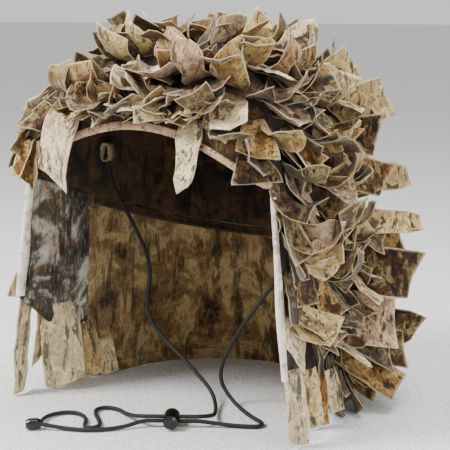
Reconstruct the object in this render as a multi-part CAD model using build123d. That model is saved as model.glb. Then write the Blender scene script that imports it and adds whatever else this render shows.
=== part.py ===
from build123d import *
import math
import os

# Leafy camouflage head cover: a hood of thin cloth with an open face, rows of sewn leaf
# strips, and a chin cord with a squeeze lock. Millimetres, +Z up, the face looks along -Y,
# and the wearer's left is +X. The origin is on the surface that the hem stands on.

# Driving dimensions
CLOTH = 1.2                 # wall of every cloth panel
TOP = 306.0                 # outer height of the crown
CROWN_BASE = 196.0          # height where the dome starts to close in
DOME_POWER = 2.3            # squareness of the dome's profile
BROW_APEX = 240.0           # height of the forehead edge at the middle
BROW_END = 200.0            # height of the forehead edge at the temples
SEAM_MID = 168.0            # height of the crown-to-drape seam at the ears
SEAM_DROP = 0.31            # fall of that seam per millimetre towards the back
FRONT_EDGE = -84.0          # Y of the side drapes' front edges at the seam
FRONT_LEAN = 0.05           # forward lean of those edges per millimetre down
EAR_Y = -8.0                # Y of the seams between the side drapes and the back drape
CORNER_HEM_RIGHT = 92.0     # height of the hem at the front corner, wearer's right
CORNER_HEM_LEFT = 55.0      # the same, wearer's left
REST_START = 24.0           # Y behind which the hem is flat on the surface
PANEL_SPLIT = 40.0          # half width of the crown's centre panel
BINDING = 2.4               # thickness of a folded binding
BINDING_DEPTH = 7.0         # how far a binding reaches in from the edge
HEM_DEPTH = 12.0            # height of the hem's inner facing
CORD = 3.4                  # diameter of the chin cord
LEAF = 0.9                  # thickness of a leaf strip
HANG_GAP = 2.2              # gap between a hanging leaf's root and the cloth
SUPPORT_LIFT = 8            # how far the supporting leaves lean out, in degrees

# Half outlines of the cloth, from the middle of the front to the middle of the back
UPPER = [(0, -107), (55, -105), (94, -101), (115, -88), (116, -66), (112, -30),
         (106, 15), (88, 70), (48, 106), (0, 116)]
LOWER = [(0, -122), (62, -120), (112, -115), (136, -98), (134, -72), (124, -30),
         (116, 20), (98, 82), (54, 122), (0, 134)]


def outline(height, inset):
    """Closed plan curve of the cloth at a height, moved in by an inset."""
    if height >= CROWN_BASE:
        rise = (height - CROWN_BASE) / (TOP - CROWN_BASE)
        share = (1 - min(rise, 1.0) ** DOME_POWER) ** (1 / DOME_POWER)
        half = [(x * share, y * share) for x, y in UPPER]
    else:
        low = 1 - height / CROWN_BASE
        half = [(u[0] + (v[0] - u[0]) * low, u[1] + (v[1] - u[1]) * low)
                for u, v in zip(UPPER, LOWER)]
    whole = half + [(-x, y) for x, y in reversed(half[1:-1])]
    moved = []
    for x, y in whole:
        reach = math.hypot(x, y)
        moved.append((x * (1 - inset / reach), y * (1 - inset / reach)))
    return Plane.XY.offset(height) * make_face(Spline(*moved, periodic=True))


def crown_form(inset):
    """The crown's closed outer form, moved in by an inset."""
    faces = [outline(height, inset) for height in (110, CROWN_BASE, 226, 252, 274)]
    faces += [outline(290 - inset / 3, inset), outline(300 - inset / 2, inset)]
    faces.append(Plane.XY.offset(-inset) * outline(TOP - 1.2, inset))
    return loft(faces)


def drape_form(inset):
    """The drapes' closed outer form, straight from the hem to the crown's base."""
    return loft([outline(0, inset), outline(CROWN_BASE - 0.001, inset)], ruled=True)


def cloth_shell(form, out, depth):
    """Layer of a form from out millimetres outside it to depth millimetres inside it."""
    return form(-out) - form(depth)


def block(x0, x1, y0, y1, z0, z1):
    """Box between two corners."""
    middle = Location(((x0 + x1) / 2, (y0 + y1) / 2, (z0 + z1) / 2))
    return middle * Box(x1 - x0, y1 - y0, z1 - z0)


def side_prism(points, x0, x1):
    """Polygon of (y, z) points carried along X from x0 to x1."""
    face = make_face(Polyline(*[(x0, y, z) for y, z in points], close=True))
    return extrude(face, amount=x1 - x0, dir=(1, 0, 0))


def seam_height(y):
    """Height of the crown-to-drape seam."""
    return SEAM_MID - SEAM_DROP * y


def front_y(z):
    """Y of the side drapes' front edges."""
    return FRONT_EDGE - FRONT_LEAN * (seam_height(FRONT_EDGE) - z)


def brow_prism(lift):
    """What lies under the forehead edge's arch, raised by a lift."""
    half_span = 150.0
    arch = ThreePointArc((-108, -150, BROW_END + lift), (6, -150, BROW_APEX + lift),
                         (108, -150, BROW_END + lift))
    right = Polyline((108, -150, BROW_END + lift), (half_span, -150, 190 + lift),
                     (half_span, -150, 60), (-half_span, -150, 60),
                     (-half_span, -150, 190 + lift), (-108, -150, BROW_END + lift))
    face = make_face(arch + right)
    return extrude(face, amount=150 + FRONT_EDGE + 1.0, dir=(0, 1, 0))


def under_seam(gap=0.0):
    """Half space under the crown-to-drape seam, lowered by a gap."""
    ends = [(-200, seam_height(-200) - gap), (200, seam_height(200) - gap)]
    return side_prism([(-200, -50), (200, -50), ends[1], ends[0]], -200, 200)


def hem_cut(corner, x0, x1, lift=0.0):
    """What the sloping hem of a side drape leaves off."""
    points = [(-200, -50), (200, -50), (200, lift), (REST_START, lift),
              (-95, corner + lift), (-200, corner + 30 + lift)]
    return side_prism(points, x0, x1)


def only(shape):
    """The largest solid of a shape."""
    return sorted(shape.solids(), key=lambda s: s.volume)[-1]


nodes = {}

# Cloth panels, all cut from one shell
crown_skin, drape_skin = crown_form(0), drape_form(0)
crown = only(cloth_shell(crown_form, 0, CLOTH) - under_seam() - brow_prism(0))
nodes["crown_centre_panel"] = only(crown & block(-PANEL_SPLIT, PANEL_SPLIT, -200, 200, 0, 400))
nodes["crown_left_panel"] = only(crown & block(PANEL_SPLIT, 200, -200, 200, 0, 400))
nodes["crown_right_panel"] = only(crown & block(-200, -PANEL_SPLIT, -200, 200, 0, 400))

front_cut = side_prism([(-200, -50), (front_y(-50), -50), (front_y(260), 260), (-200, 260)],
                       -200, 200)
drape = (cloth_shell(drape_form, 0, CLOTH) & under_seam()) - front_cut
drape = drape - hem_cut(CORNER_HEM_RIGHT, -200, 0) - hem_cut(CORNER_HEM_LEFT, 0, 200)
nodes["back_drape"] = only(drape & block(-200, 200, EAR_Y, 200, -5, 400))
nodes["side_drape_left"] = only(drape & block(0, 200, -200, EAR_Y, -5, 400))
nodes["side_drape_right"] = only(drape & block(-200, 0, -200, EAR_Y, -5, 400))

# Bindings and tapes: strips that lie on the inner face of the cloth
tape = cloth_shell(drape_form, -CLOTH, CLOTH + 1.0)
nape_band = tape & under_seam(0.2)
nape_band = nape_band - under_seam(12.0) - block(-200, 200, -200, EAR_Y + 6, 0, 400)
nodes["nape_seam_tape"] = only(nape_band)
for side, x0, x1 in (("left", 0, 200), ("right", -200, 0)):
    corner = CORNER_HEM_LEFT if side == "left" else CORNER_HEM_RIGHT
    strip = (tape & under_seam(12.2)) - hem_cut(corner, x0, x1, HEM_DEPTH + 1)
    nodes[f"ear_seam_tape_{side}"] = only(strip & block(x0, x1, EAR_Y - 5, EAR_Y + 5, 0, 400))

# Forehead binding: folded and piped along the arch
brow_shell = cloth_shell(crown_form, BINDING / 2, CLOTH + BINDING / 2)
forehead = (brow_shell & brow_prism(0)) - brow_prism(-BINDING_DEPTH) - under_seam()
nodes["forehead_binding"] = only(forehead)

# Front edge bindings
edge_band = side_prism([(front_y(-50) - 0.2, -50), (front_y(-50) - BINDING_DEPTH, -50),
                        (front_y(260) - BINDING_DEPTH, 260), (front_y(260) - 0.2, 260)],
                       -200, 200)
edge_shell = cloth_shell(drape_form, BINDING / 2, CLOTH + BINDING / 2)
edge_shell = (edge_shell & under_seam(2.0)) & edge_band
for side, x0, x1 in (("left", 100, 200), ("right", -200, -100)):
    corner = CORNER_HEM_LEFT if side == "left" else CORNER_HEM_RIGHT
    edge = (edge_shell & block(x0, x1, -200, 0, 0, 400)) - hem_cut(corner, x0, x1)
    nodes[f"front_edge_binding_{side}"] = only(edge)

# Hem facings: the turned-up inner strip
hem_tape = tape - front_cut
hem_tape = hem_tape - hem_cut(CORNER_HEM_RIGHT, -200, 0, 0.2) - hem_cut(CORNER_HEM_LEFT, 0, 200, 0.2)
low_band = hem_tape & (hem_cut(CORNER_HEM_RIGHT, -200, 0, HEM_DEPTH)
                       + hem_cut(CORNER_HEM_LEFT, 0, 200, HEM_DEPTH))
nodes["hem_facing_back"] = only(low_band & block(-200, 200, EAR_Y, 200, -5, 60))
nodes["hem_facing_left"] = only(low_band & block(0, 200, -200, EAR_Y - 0.2, -5, 200))
nodes["hem_facing_right"] = only(low_band & block(-200, 0, -200, EAR_Y - 0.2, -5, 200))

# Headband: soft sweatband inside the brow of the crown, above the forehead binding
headband = cloth_shell(crown_form, -CLOTH, CLOTH + 1.4) & block(-200, 200, -200, -40, 196, 262)
headband = headband - brow_prism(0.5)
headband = headband & brow_prism(18)
nodes["headband"] = only(headband)


def wall_point(start, direction, form):
    """Outermost hit of a line on a form, and the outward normal there."""
    hits = form.find_intersection_points(Axis(start, direction))
    ahead = [(p, n) for p, n in hits if (p - Vector(*start)).dot(Vector(*direction)) > 0]
    return max(ahead, key=lambda hit: (hit[0] - Vector(*start)).length)


# Cord tabs: a folded loop inside each temple
TAB_Y, TAB_Z = 2.0, 204.0
TAB_HOLE = 5.0
tab_points = {}
for side, sign in (("left", 1), ("right", -1)):
    point, normal = wall_point((0, TAB_Y, TAB_Z), (sign, 0, 0), crown_form(CLOTH))
    tab_points[side] = point
    ring_x = point.X - sign * 6.2
    plate = block(-4.6, 4.6, -5.0, 5.0, -5.0, 11.0)
    plate = Location((ring_x, TAB_Y, TAB_Z)) * plate
    hole = Location((ring_x, TAB_Y, TAB_Z - 2.5)) * Cylinder(TAB_HOLE / 2, 6)
    nodes[f"cord_tab_{side}"] = only((plate & crown_form(CLOTH + 0.05)) - hole)

# Cord lock: it lies on the surface with its button towards the viewer of the face
LOCK_OUTER = 13.6
LOCK_BORE = 10.6
LOCK_LENGTH = 17.5
STEM = 10.52
TRAVEL = 2.6
LOCK_AT = (26.0, -86.0)
LOCK_TURN = 30.0            # degrees from +X to the line that the cord takes through the lock
LOCK_Z = LOCK_OUTER / 2
CORD_GAP = 3.7              # height between the two runs inside the lock
SLOT_HEIGHT = CORD_GAP + CORD + 0.3
along = Vector(math.cos(math.radians(LOCK_TURN)), math.sin(math.radians(LOCK_TURN)), 0)
across = Vector(math.sin(math.radians(LOCK_TURN)), -math.cos(math.radians(LOCK_TURN)), 0)
lock_frame = Plane(origin=(*LOCK_AT, LOCK_Z), x_dir=along, z_dir=across)


def turned(points, place):
    """Solid of revolution from (radius, height) points about a plane's normal."""
    face = make_face(Polyline(*[(r, 0, h) for r, h in points], close=True))
    return place.location * revolve(face, axis=Axis.Z)


front_h, back_h = 6.6, 6.6 - LOCK_LENGTH
barrel = turned([(0, back_h), (4.4, back_h), (6.0, back_h + 1.2), (LOCK_OUTER / 2, back_h + 4),
                 (LOCK_OUTER / 2, front_h - 4), (6.1, front_h), (0, front_h)], lock_frame)
bore = turned([(0, back_h + 1.4), (LOCK_BORE / 2, back_h + 1.4), (LOCK_BORE / 2, front_h + 1),
               (0, front_h + 1)], lock_frame)
passage = lock_frame.location * Box(30, SLOT_HEIGHT, CORD + 0.5)
nodes["cord_lock_barrel"] = only(barrel - bore - passage)
stem_back = -(CORD + 0.5) / 2 - 1.4
button_h = front_h + TRAVEL + 0.2
stem = turned([(0, stem_back), (STEM / 2, stem_back), (STEM / 2, button_h),
               (5.9, button_h), (6.1, button_h + 1.0), (5.6, button_h + 2.6),
               (3.6, button_h + 3.6), (0, button_h + 3.8)], lock_frame)
stem_slot = Location((0, 0, (TRAVEL + 0.1) / 2)) * Box(30, SLOT_HEIGHT, CORD + 0.5 + TRAVEL)
nodes["cord_lock_plunger"] = only(stem - lock_frame.location * stem_slot)
SPRING_WIRE = 0.7
SPRING_RADIUS = 3.6
spring_low, spring_high = back_h + 1.5, stem_back - 0.1
spring_height = spring_high - spring_low - SPRING_WIRE
turns_path = Helix(pitch=spring_height / 3, height=spring_height, radius=SPRING_RADIUS)
wire = sweep(Plane(origin=turns_path @ 0, z_dir=turns_path % 0) * Circle(SPRING_WIRE / 2),
             path=turns_path)
nodes["cord_lock_spring"] = only(lock_frame.location
                                 * Location((0, 0, spring_low + SPRING_WIRE / 2)) * wire)


def cord_tube(name, points):
    """Tube through hand-chosen points, with each corner's arc as large as its runs allow."""
    ends = [Vector(*p) for p in points]
    radii = []
    for before, here, after in zip(ends, ends[1:], ends[2:]):
        turn = math.radians((here - before).get_angle(after - here))
        shorter = min((here - before).length, (after - here).length)
        radii.append(0.45 * shorter / math.tan(turn / 2))
    path = FilletPolyline(*ends, radius=radii)
    start = Plane(origin=path @ 0, z_dir=path % 0)
    tube = sweep(start * Circle(CORD / 2), path=path)
    share = tube.volume / (math.pi * CORD ** 2 / 4 * path.length)
    print(name, "length", round(path.length, 1), "radii", [round(r, 1) for r in radii],
          "volume share", round(share, 3))
    return only(tube)


# Chin cord: each run from its tab, down to the surface, through the lock, to the bead
LOW = CORD / 2 + 0.05
upper_z = LOCK_Z + CORD_GAP / 2
lower_z = LOCK_Z - CORD_GAP / 2
tab_r, tab_l = tab_points["right"], tab_points["left"]


def through(distance, height):
    """Point on the line that the cord takes through the lock."""
    return (LOCK_AT[0] + along.X * distance, LOCK_AT[1] + along.Y * distance, height)


run_right = [
    (tab_r.X + 6.2, TAB_Y, TAB_Z + 0.5), (tab_r.X + 6.4, TAB_Y - 0.2, 193), (-93, 1, 177),
    (-81, 0, 159), (-67, -1, 139), (-55, -2, 119), (-52, -3, 99), (-57, -4, 80),
    (-50, -6, 61), (-34, -7, 47), (-16, -8, 35), (1, -9, 22), (17, -12, 11),
    (31, -27, 3.6), (41, -44, 3.0), (49, -60, 6.3), through(23, upper_z),
    through(-23, upper_z), (-9, -90, 4.6), (-24, -80.5, LOW), (-36, -73.5, LOW),
    (-48, -74.5, LOW), (-52, -84, LOW), (-44, -95, LOW), (-32, -106, LOW), (-22, -117, LOW),
    (-21.5, -124.5, LOW), (-27, -129, LOW), (-33, -124, LOW), (-40, -112, LOW),
    (-50, -103, LOW), (-62, -100, LOW), (-71, -107, LOW), (-74, -120, LOW),
    (-69, -133, LOW + 1), (-60.8, -144.6, 4.6),
]
run_left = [
    (tab_l.X - 6.2, TAB_Y, TAB_Z + 0.5), (tab_l.X - 6.4, TAB_Y - 0.2, 193), (99, -2, 176),
    (98, -5, 157), (93, -8, 138), (84, -10, 119), (72, -12, 103), (59, -12.5, 86),
    (46, -12, 69), (35, -11.5, 51), (27, -12, 35), (26, -12.5, 21), (34, -13, 10),
    (47, -18, 3.2), (62, -28, LOW), (75, -37, LOW), (86, -43, LOW), (89, -52, LOW),
    (80, -58, LOW), (64, -63, LOW), through(23, lower_z), through(-23, lower_z),
    (-3, -111, LOW), (-11, -123, LOW), (-22, -132.5, LOW), (-36, -138, LOW),
    (-48, -141, LOW + 0.6), (-58.2, -147.5, 4.6),
]
nodes["chin_cord_right_run"] = cord_tube("chin_cord_right_run", run_right)
nodes["chin_cord_left_run"] = cord_tube("chin_cord_left_run", run_left)

# End bead: a barrel bead that both cord ends are pressed into
BEAD_AT = (-64.0, -150.0)
BEAD_RADIUS = 4.6
bead_turn = Vector(0.75, 0.66, 0)
bead_frame = Plane(origin=(*BEAD_AT, BEAD_RADIUS), x_dir=(0, 0, 1), z_dir=bead_turn)
bead = turned([(0, -6), (3.4, -6), (BEAD_RADIUS, -3.2), (BEAD_RADIUS, 3.2), (3.4, 6), (0, 6)],
              bead_frame)
nodes["cord_end_bead"] = only(bead)


def leaf_blank(length, width, form):
    """Flat leaf strip that hangs from the origin along -Z, its face along +Y."""
    half = width / 2
    shapes = [
        [(-half * 0.7, 0), (half * 0.7, 0), (half, -length * 0.55), (half * 0.5, -length),
         (-half * 0.6, -length * 0.94), (-half, -length * 0.5)],
        [(-half * 0.8, 0), (half * 0.7, 0), (half * 0.95, -length * 0.6), (0, -length),
         (-half, -length * 0.7)],
        [(-half * 0.6, 0), (half * 0.8, 0), (half, -length * 0.8), (half * 0.2, -length),
         (-half * 0.9, -length * 0.85)],
    ]
    points = [(x, -LEAF / 2, z) for x, z in shapes[form % len(shapes)]]
    return extrude(make_face(Polyline(*points, close=True)), amount=LEAF, dir=(0, 1, 0))


def leaf_on(point, normal, lift, length, width, form, gap=0.25, down=Vector(0, 0, -1)):
    """Leaf with its root on the cloth, hanging down and lifted off it by an angle."""
    out = normal.normalized()
    side = out.cross(down).normalized()
    fall = side.cross(out).normalized()
    if fall.dot(down) < 0:
        fall, side = -fall, -side
    angle = math.radians(lift)
    length_dir = fall * math.cos(angle) + out * math.sin(angle)
    face_dir = length_dir.cross(side).normalized()
    if face_dir.dot(out) < 0:
        face_dir = -face_dir
    root = point + out * (gap + LEAF * 0.5 + 0.2)
    place = Plane(origin=root, x_dir=face_dir.cross(-length_dir), z_dir=-length_dir)
    return place.location * leaf_blank(length, width, form)


def ring(height, azimuths, lift, length, width, phase, gap=0.25):
    """Leaves round the hood at one height; azimuth 0 is the front, 90 the wearer's left."""
    made = []
    for number, azimuth in enumerate(azimuths):
        turn = math.radians(azimuth)
        skin = crown_skin if height > seam_height(-math.cos(turn) * 110) else drape_skin
        point, normal = wall_point((0, 0, height), (math.sin(turn), -math.cos(turn), 0), skin)
        grow = 1 + 0.12 * math.sin(2.3 * number + phase)
        made.append(leaf_on(point, normal, lift, length * grow, width,
                            number + int(phase), gap))
    return Compound(made)


def spread(first, last, count):
    """Evenly spaced azimuths."""
    return [first + (last - first) * k / (count - 1) for k in range(count)]


# Leaf rows on the crown
top_leaves = []
for k in range(4):
    turn = math.radians(45 + 90 * k)
    direction = Vector(math.sin(turn), -math.cos(turn), 0)
    point, normal = wall_point((0, 0, 150), (direction.X * 0.07, direction.Y * 0.07, 1), crown_skin)
    top_leaves.append(leaf_on(point, normal, 22, 30, 22, k, gap=0.6, down=direction))
nodes["crown_leaves_top"] = Compound(top_leaves)
nodes["crown_leaves_upper"] = ring(291, spread(10, 330, 9), 22, 34, 24, 1.0)
nodes["crown_leaves_middle"] = ring(268, spread(0, 336, 15), 24, 38, 26, 2.0)
nodes["crown_leaves_lower"] = ring(238, spread(42, 318, 15), 28, 40, 27, 3.0)
nodes["brow_leaves"] = ring(246, [-28, -14, 3, 18, 31], 30, 28, 18, 1.0)

# Leaf rows on the drapes
nodes["nape_leaves"] = ring(204, spread(60, 300, 14), 30, 40, 27, 4.0)
nodes["back_leaves_upper"] = ring(166, spread(98, 262, 10), 34, 41, 27, 5.0, 2.0)
nodes["back_leaves_middle"] = ring(128, spread(106, 254, 9), 30, 41, 27, 6.0)
nodes["back_leaves_lower"] = ring(88, spread(98, 262, 10), 30, 41, 27, 7.0)
nodes["back_hem_leaves"] = ring(49, spread(112, 248, 8), 26, 43, 27, 8.0)
for side, sign in (("left", 1), ("right", -1)):
    nodes[f"side_leaves_upper_{side}"] = ring(166, [sign * a for a in (62, 78)], 30, 41, 26, 2.0)
    nodes[f"side_leaves_middle_{side}"] = ring(132, [sign * a for a in (60, 74, 89)], 30, 40, 26, 3.0)
nodes["side_leaves_lower_left"] = ring(96, [60, 76], 30, 38, 24, 4.0)


def hem_leaf(azimuth, height, lift, length, width, form):
    """One long leaf that hangs from the hem on its own stitch line."""
    turn = math.radians(azimuth)
    point, normal = wall_point((0, 0, height), (math.sin(turn), -math.cos(turn), 0), drape_skin)
    flat_normal = Vector(normal.X, normal.Y, 0).normalized()
    hinge = point + flat_normal * (HANG_GAP + LEAF * 0.5 + 0.2)
    axis = Vector(0, 0, 1).cross(flat_normal)
    leaf = leaf_on(point, flat_normal, lift, length, width, form, gap=HANG_GAP)
    spots = (hinge.X, hinge.Y, hinge.Z, axis.X, axis.Y, axis.Z)
    print("hinge", azimuth, [round(v, 3) for v in spots])
    return leaf


def support_leaf(azimuth, height):
    """Long leaf whose tip just reaches the surface."""
    length = (height - 0.06) / math.cos(math.radians(SUPPORT_LIFT))
    return hem_leaf(azimuth, height, SUPPORT_LIFT, length, 21, 1)


# Leaves that carry the front corners on the surface
nodes["front_support_leaves_right"] = Compound([support_leaf(-59, 92), support_leaf(-77.5, 60)])
nodes["front_support_leaves_left"] = Compound([support_leaf(59, 60), support_leaf(77.5, 46)])

# Leaves that swing: azimuth, height, lift, length, width, form
SWING = [
    ("right_1", -67.5, 80, 10, 60, 19, 0), ("right_2", -89.5, 49, 10, 42, 20, 2),
    ("right_3", -101, 36, 10, 30, 19, 0), ("left_1", 67.5, 55, 10, 46, 19, 2),
    ("left_2", 89.5, 42, 10, 36, 20, 0), ("left_3", 101, 34, 10, 29, 19, 1),
]
for name, azimuth, height, lift, length, width, form in SWING:
    nodes[f"hanging_leaf_{name}"] = hem_leaf(azimuth, height, lift, length, width, form)

os.makedirs("parts", exist_ok=True)
for name, solid in nodes.items():
    export_step(solid, f"parts/{name}.step")
print(len(nodes), "nodes; tab points", tab_points)
print("lock along", along, "across", across)
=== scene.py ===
import logging
import math
from dataclasses import dataclass, field
from enum import Enum
from random import Random

import bmesh
import bpy
import numpy as np
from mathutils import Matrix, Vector, noise


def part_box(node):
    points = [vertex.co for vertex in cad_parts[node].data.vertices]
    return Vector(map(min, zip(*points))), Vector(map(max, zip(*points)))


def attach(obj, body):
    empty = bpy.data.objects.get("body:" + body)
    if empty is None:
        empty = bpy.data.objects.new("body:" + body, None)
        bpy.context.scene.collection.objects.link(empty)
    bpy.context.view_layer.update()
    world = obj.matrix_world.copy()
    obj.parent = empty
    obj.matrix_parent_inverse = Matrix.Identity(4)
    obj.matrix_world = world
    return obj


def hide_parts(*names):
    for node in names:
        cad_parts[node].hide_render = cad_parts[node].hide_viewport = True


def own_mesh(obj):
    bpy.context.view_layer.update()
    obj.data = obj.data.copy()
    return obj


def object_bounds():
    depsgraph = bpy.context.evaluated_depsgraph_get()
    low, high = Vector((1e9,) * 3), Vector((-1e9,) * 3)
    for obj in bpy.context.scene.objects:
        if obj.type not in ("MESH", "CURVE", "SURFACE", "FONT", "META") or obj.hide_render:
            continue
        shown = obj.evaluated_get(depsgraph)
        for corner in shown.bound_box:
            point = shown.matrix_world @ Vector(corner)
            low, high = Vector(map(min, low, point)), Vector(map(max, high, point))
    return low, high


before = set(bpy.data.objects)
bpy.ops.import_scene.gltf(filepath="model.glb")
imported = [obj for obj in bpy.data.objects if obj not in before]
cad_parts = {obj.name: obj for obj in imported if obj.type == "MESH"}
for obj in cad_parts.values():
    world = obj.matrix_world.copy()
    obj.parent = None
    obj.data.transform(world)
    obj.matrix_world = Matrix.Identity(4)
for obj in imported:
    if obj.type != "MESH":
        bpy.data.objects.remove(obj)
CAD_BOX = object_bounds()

log = logging.getLogger("hood")
MM = 0.001

# The cloth's form, as the frame's panels have it (millimetres)
TOP, CROWN_BASE, DOME_POWER = 306.0, 196.0, 2.3
BROW_APEX, BROW_END, BROW_SPAN = 240.0, 200.0, 108.0
BROW_CENTRE, BROW_POWER = 3, 2.05
SEAM_MID, SEAM_DROP = 168.0, 0.31
FRONT_EDGE, EAR_Y = -84.0, -8.0
CORNER_HEM = {-1: 92.0, 1: 55.0}
REST_START = 24.0           # the hem rests on the floor behind this Y
HEM_FRONT = 95              # how far in front of the middle the hem is highest
TILT_POWER = 1.4            # how soon the dome's outward direction turns upwards
OUTLINE_LENGTH = 740.0      # once round the hood
UPPER = [(0, -107), (55, -105), (94, -101), (115, -88), (116, -66), (112, -30),
         (106, 15), (88, 70), (48, 106), (0, 116)]
LOWER = [(0, -122), (62, -120), (112, -115), (136, -98), (134, -72), (124, -30),
         (116, 20), (98, 82), (54, 122), (0, 134)]


class Hang(Enum):
    """How a leaf strip sits on its stitch line."""

    CURLED = "curled"
    LOOPED = "looped"


def linear(hex_colour: str) -> tuple[float, float, float, float]:
    """Turn an sRGB hex colour into a linear one.

    Args:
        hex_colour: six hex digits, such as "d9cfb0".

    Returns:
        Linear red, green, blue and alpha.
    """
    parts = [int(hex_colour[k:k + 2], 16) / 255 for k in (0, 2, 4)]
    return tuple(c / 12.92 if c <= 0.04045 else ((c + 0.055) / 1.055) ** 2.4 for c in parts) + (1.0,)


# ------------------------------------------------------------------ the form of the cloth


def closed(half: list[tuple[float, float]]) -> np.ndarray:
    """Whole closed outline from its half, mirrored in X."""
    return np.array(half + [(-x, y) for x, y in reversed(half[1:-1])], float)


OUTLINES = (closed(UPPER), closed(LOWER))


def along_outline(points: np.ndarray, t: float) -> np.ndarray:
    """Point on a smooth closed curve through points, at t from 0 to 1."""
    count = len(points)
    place = (t % 1.0) * count
    first = int(place)
    s = place - first
    p0, p1, p2, p3 = (points[(first + k - 1) % count] for k in range(4))
    return 0.5 * (2 * p1 + (p2 - p0) * s + (2 * p0 - 5 * p1 + 4 * p2 - p3) * s * s
                  + (3 * p1 - p0 - 3 * p2 + p3) * s ** 3)


def dome_share(height: float) -> float:
    """How much of the outline's size is left at a height on the dome."""
    rise = min(max((height - CROWN_BASE) / (TOP - CROWN_BASE), 0.0), 1.0)
    return (1 - rise ** DOME_POWER) ** (1 / DOME_POWER)


def surface(t: float, height: float, out: float = 0.0) -> Vector:
    """Point of the cloth's outer face.

    Args:
        t: place round the outline, 0 at the front, 0.25 on the wearer's left, 0.5 behind.
        height: height in millimetres.
        out: distance outside the face, in millimetres.

    Returns:
        The point in metres.
    """
    low = max(0.0, 1 - height / CROWN_BASE)
    flat = along_outline(OUTLINES[0], t) * (1 - low) + along_outline(OUTLINES[1], t) * low
    flat = flat * dome_share(height)
    slope = math.hypot(*flat)
    rise = max((height - CROWN_BASE) / (TOP - CROWN_BASE), 0.0)
    tilt = rise ** TILT_POWER
    if slope > 1e-6:
        flat = flat * (1 + out * math.sqrt(max(0.0, 1 - tilt * tilt)) / slope)
    return Vector((flat[0] * MM, flat[1] * MM, (height + out * tilt) * MM))


def seam_height(y: float) -> float:
    """Height of the seam between crown and drapes, y in millimetres."""
    return SEAM_MID - SEAM_DROP * y


def brow_height(x: float) -> float:
    """Height of the forehead edge's arch at an X, in millimetres."""
    share = min(abs(x - BROW_CENTRE) / (BROW_SPAN + BROW_CENTRE), 1.0)
    return BROW_END + (BROW_APEX - BROW_END) * (1 - share ** BROW_POWER)


def hem_height(side: int, y: float) -> float:
    """Height of the hem under a point, in millimetres."""
    if y > REST_START:
        return 0.0
    return CORNER_HEM[side] * (REST_START - y) / (REST_START + HEM_FRONT)


def t_at_y(side: int, y: float) -> float:
    """Place on the outline's side at a Y, by halving, for the hood's upper outline."""
    low, high = 0.17, 0.5
    for _ in range(30):
        middle = (low + high) / 2
        if along_outline(OUTLINES[0], middle)[1] < y:
            low = middle
        else:
            high = middle
    return low if side > 0 else 1 - low


T_EAR = t_at_y(1, EAR_Y)
T_FRONT = t_at_y(1, FRONT_EDGE)


def crown_edge(t: float) -> float:
    """Lower edge of the crown at a place: the brow's arch in front, the seam elsewhere."""
    x, y = along_outline(OUTLINES[0], t)
    front = min(t % 1.0, 1 - t % 1.0)
    if front < T_FRONT:
        return max(brow_height(x), seam_height(FRONT_EDGE))
    return seam_height(y)


# ------------------------------------------------------------------ small mesh helpers


def mesh_object(name: str, verts: list, faces: list, smooth: bool = True) -> bpy.types.Object:
    """Make an object at the origin from points in metres and faces."""
    mesh = bpy.data.meshes.new(name)
    mesh.from_pydata([tuple(v) for v in verts], [], faces)
    mesh.validate()
    mesh.update()
    if smooth:
        mesh.polygons.foreach_set("use_smooth", [True] * len(mesh.polygons))
    made = bpy.data.objects.new(name, mesh)
    bpy.context.scene.collection.objects.link(made)
    return made


def bake_modifiers(piece: bpy.types.Object) -> None:
    """Turn a piece's modifiers into plain mesh."""
    graph = bpy.context.evaluated_depsgraph_get()
    made = bpy.data.meshes.new_from_object(piece.evaluated_get(graph))
    piece.modifiers.clear()
    old = piece.data
    piece.data = made
    bpy.data.meshes.remove(old)


def wrinkle(point: Vector, size: float, depth: float, seed: float) -> float:
    """Smooth noise for cloth folds, in metres."""
    where = Vector((point.x, point.y, point.z * 0.35)) / size + Vector((seed, seed * 0.7, 0))
    return depth * noise.noise(where)


def patch(name: str, t0: float, t1: float, low, high, columns: int, rows: int,
          folds: float = 0.0, curve: float = 1.0) -> bpy.types.Object:
    """Cloth patch on the hood's form.

    Args:
        name: the piece's name.
        t0: place of its first side.
        t1: place of its last side.
        low: its lower edge's height for a place.
        high: its upper edge's height for a place.
        columns: steps round the hood.
        rows: steps up.
        folds: depth of its folds, in millimetres.
        curve: power that spaces the rows, above 1 for closer rows at the top.

    Returns:
        The sheet, one face thick.
    """
    verts, faces = [], []
    for j in range(rows + 1):
        share = 1 - (1 - j / rows) ** curve
        for i in range(columns + 1):
            t = t0 + (t1 - t0) * i / columns
            bottom, top = low(t), high(t)
            height = bottom + (top - bottom) * share
            point = surface(t, height)
            if folds:
                depth = wrinkle(point, 0.032, folds * MM, 3.1)
                depth += wrinkle(point, 0.014, folds * 0.35 * MM, 8.2)
                radial = Vector((point.x, point.y, 0)).normalized()
                point = point + radial * depth * (0.4 + 0.9 * (1 - share))
            verts.append(point)
    for j in range(rows):
        for i in range(columns):
            a = j * (columns + 1) + i
            faces.append((a, a + 1, a + columns + 2, a + columns + 1))
    made = mesh_object(name, verts, faces)
    layer = made.data.uv_layers.new(name="UVMap")
    for loop in made.data.loops:
        row, column = divmod(loop.vertex_index, columns + 1)
        layer.data[loop.index].uv = (column / columns, row / rows)
    return made


# ------------------------------------------------------------------ materials


def add_node(tree, kind: str, inputs: dict | None = None, **settings):
    """Add a shader node with its settings, values and links.

    Args:
        tree: the node tree.
        kind: the node's type.
        inputs: socket name or number to a value or to another socket.
        settings: attributes of the node.

    Returns:
        The node.
    """
    node = tree.nodes.new(kind)
    for key, value in settings.items():
        setattr(node, key, value)
    for key, value in (inputs or {}).items():
        socket = node.inputs[key]
        if isinstance(value, bpy.types.NodeSocket):
            tree.links.new(value, socket)
        else:
            socket.default_value = value
    return node


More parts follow.
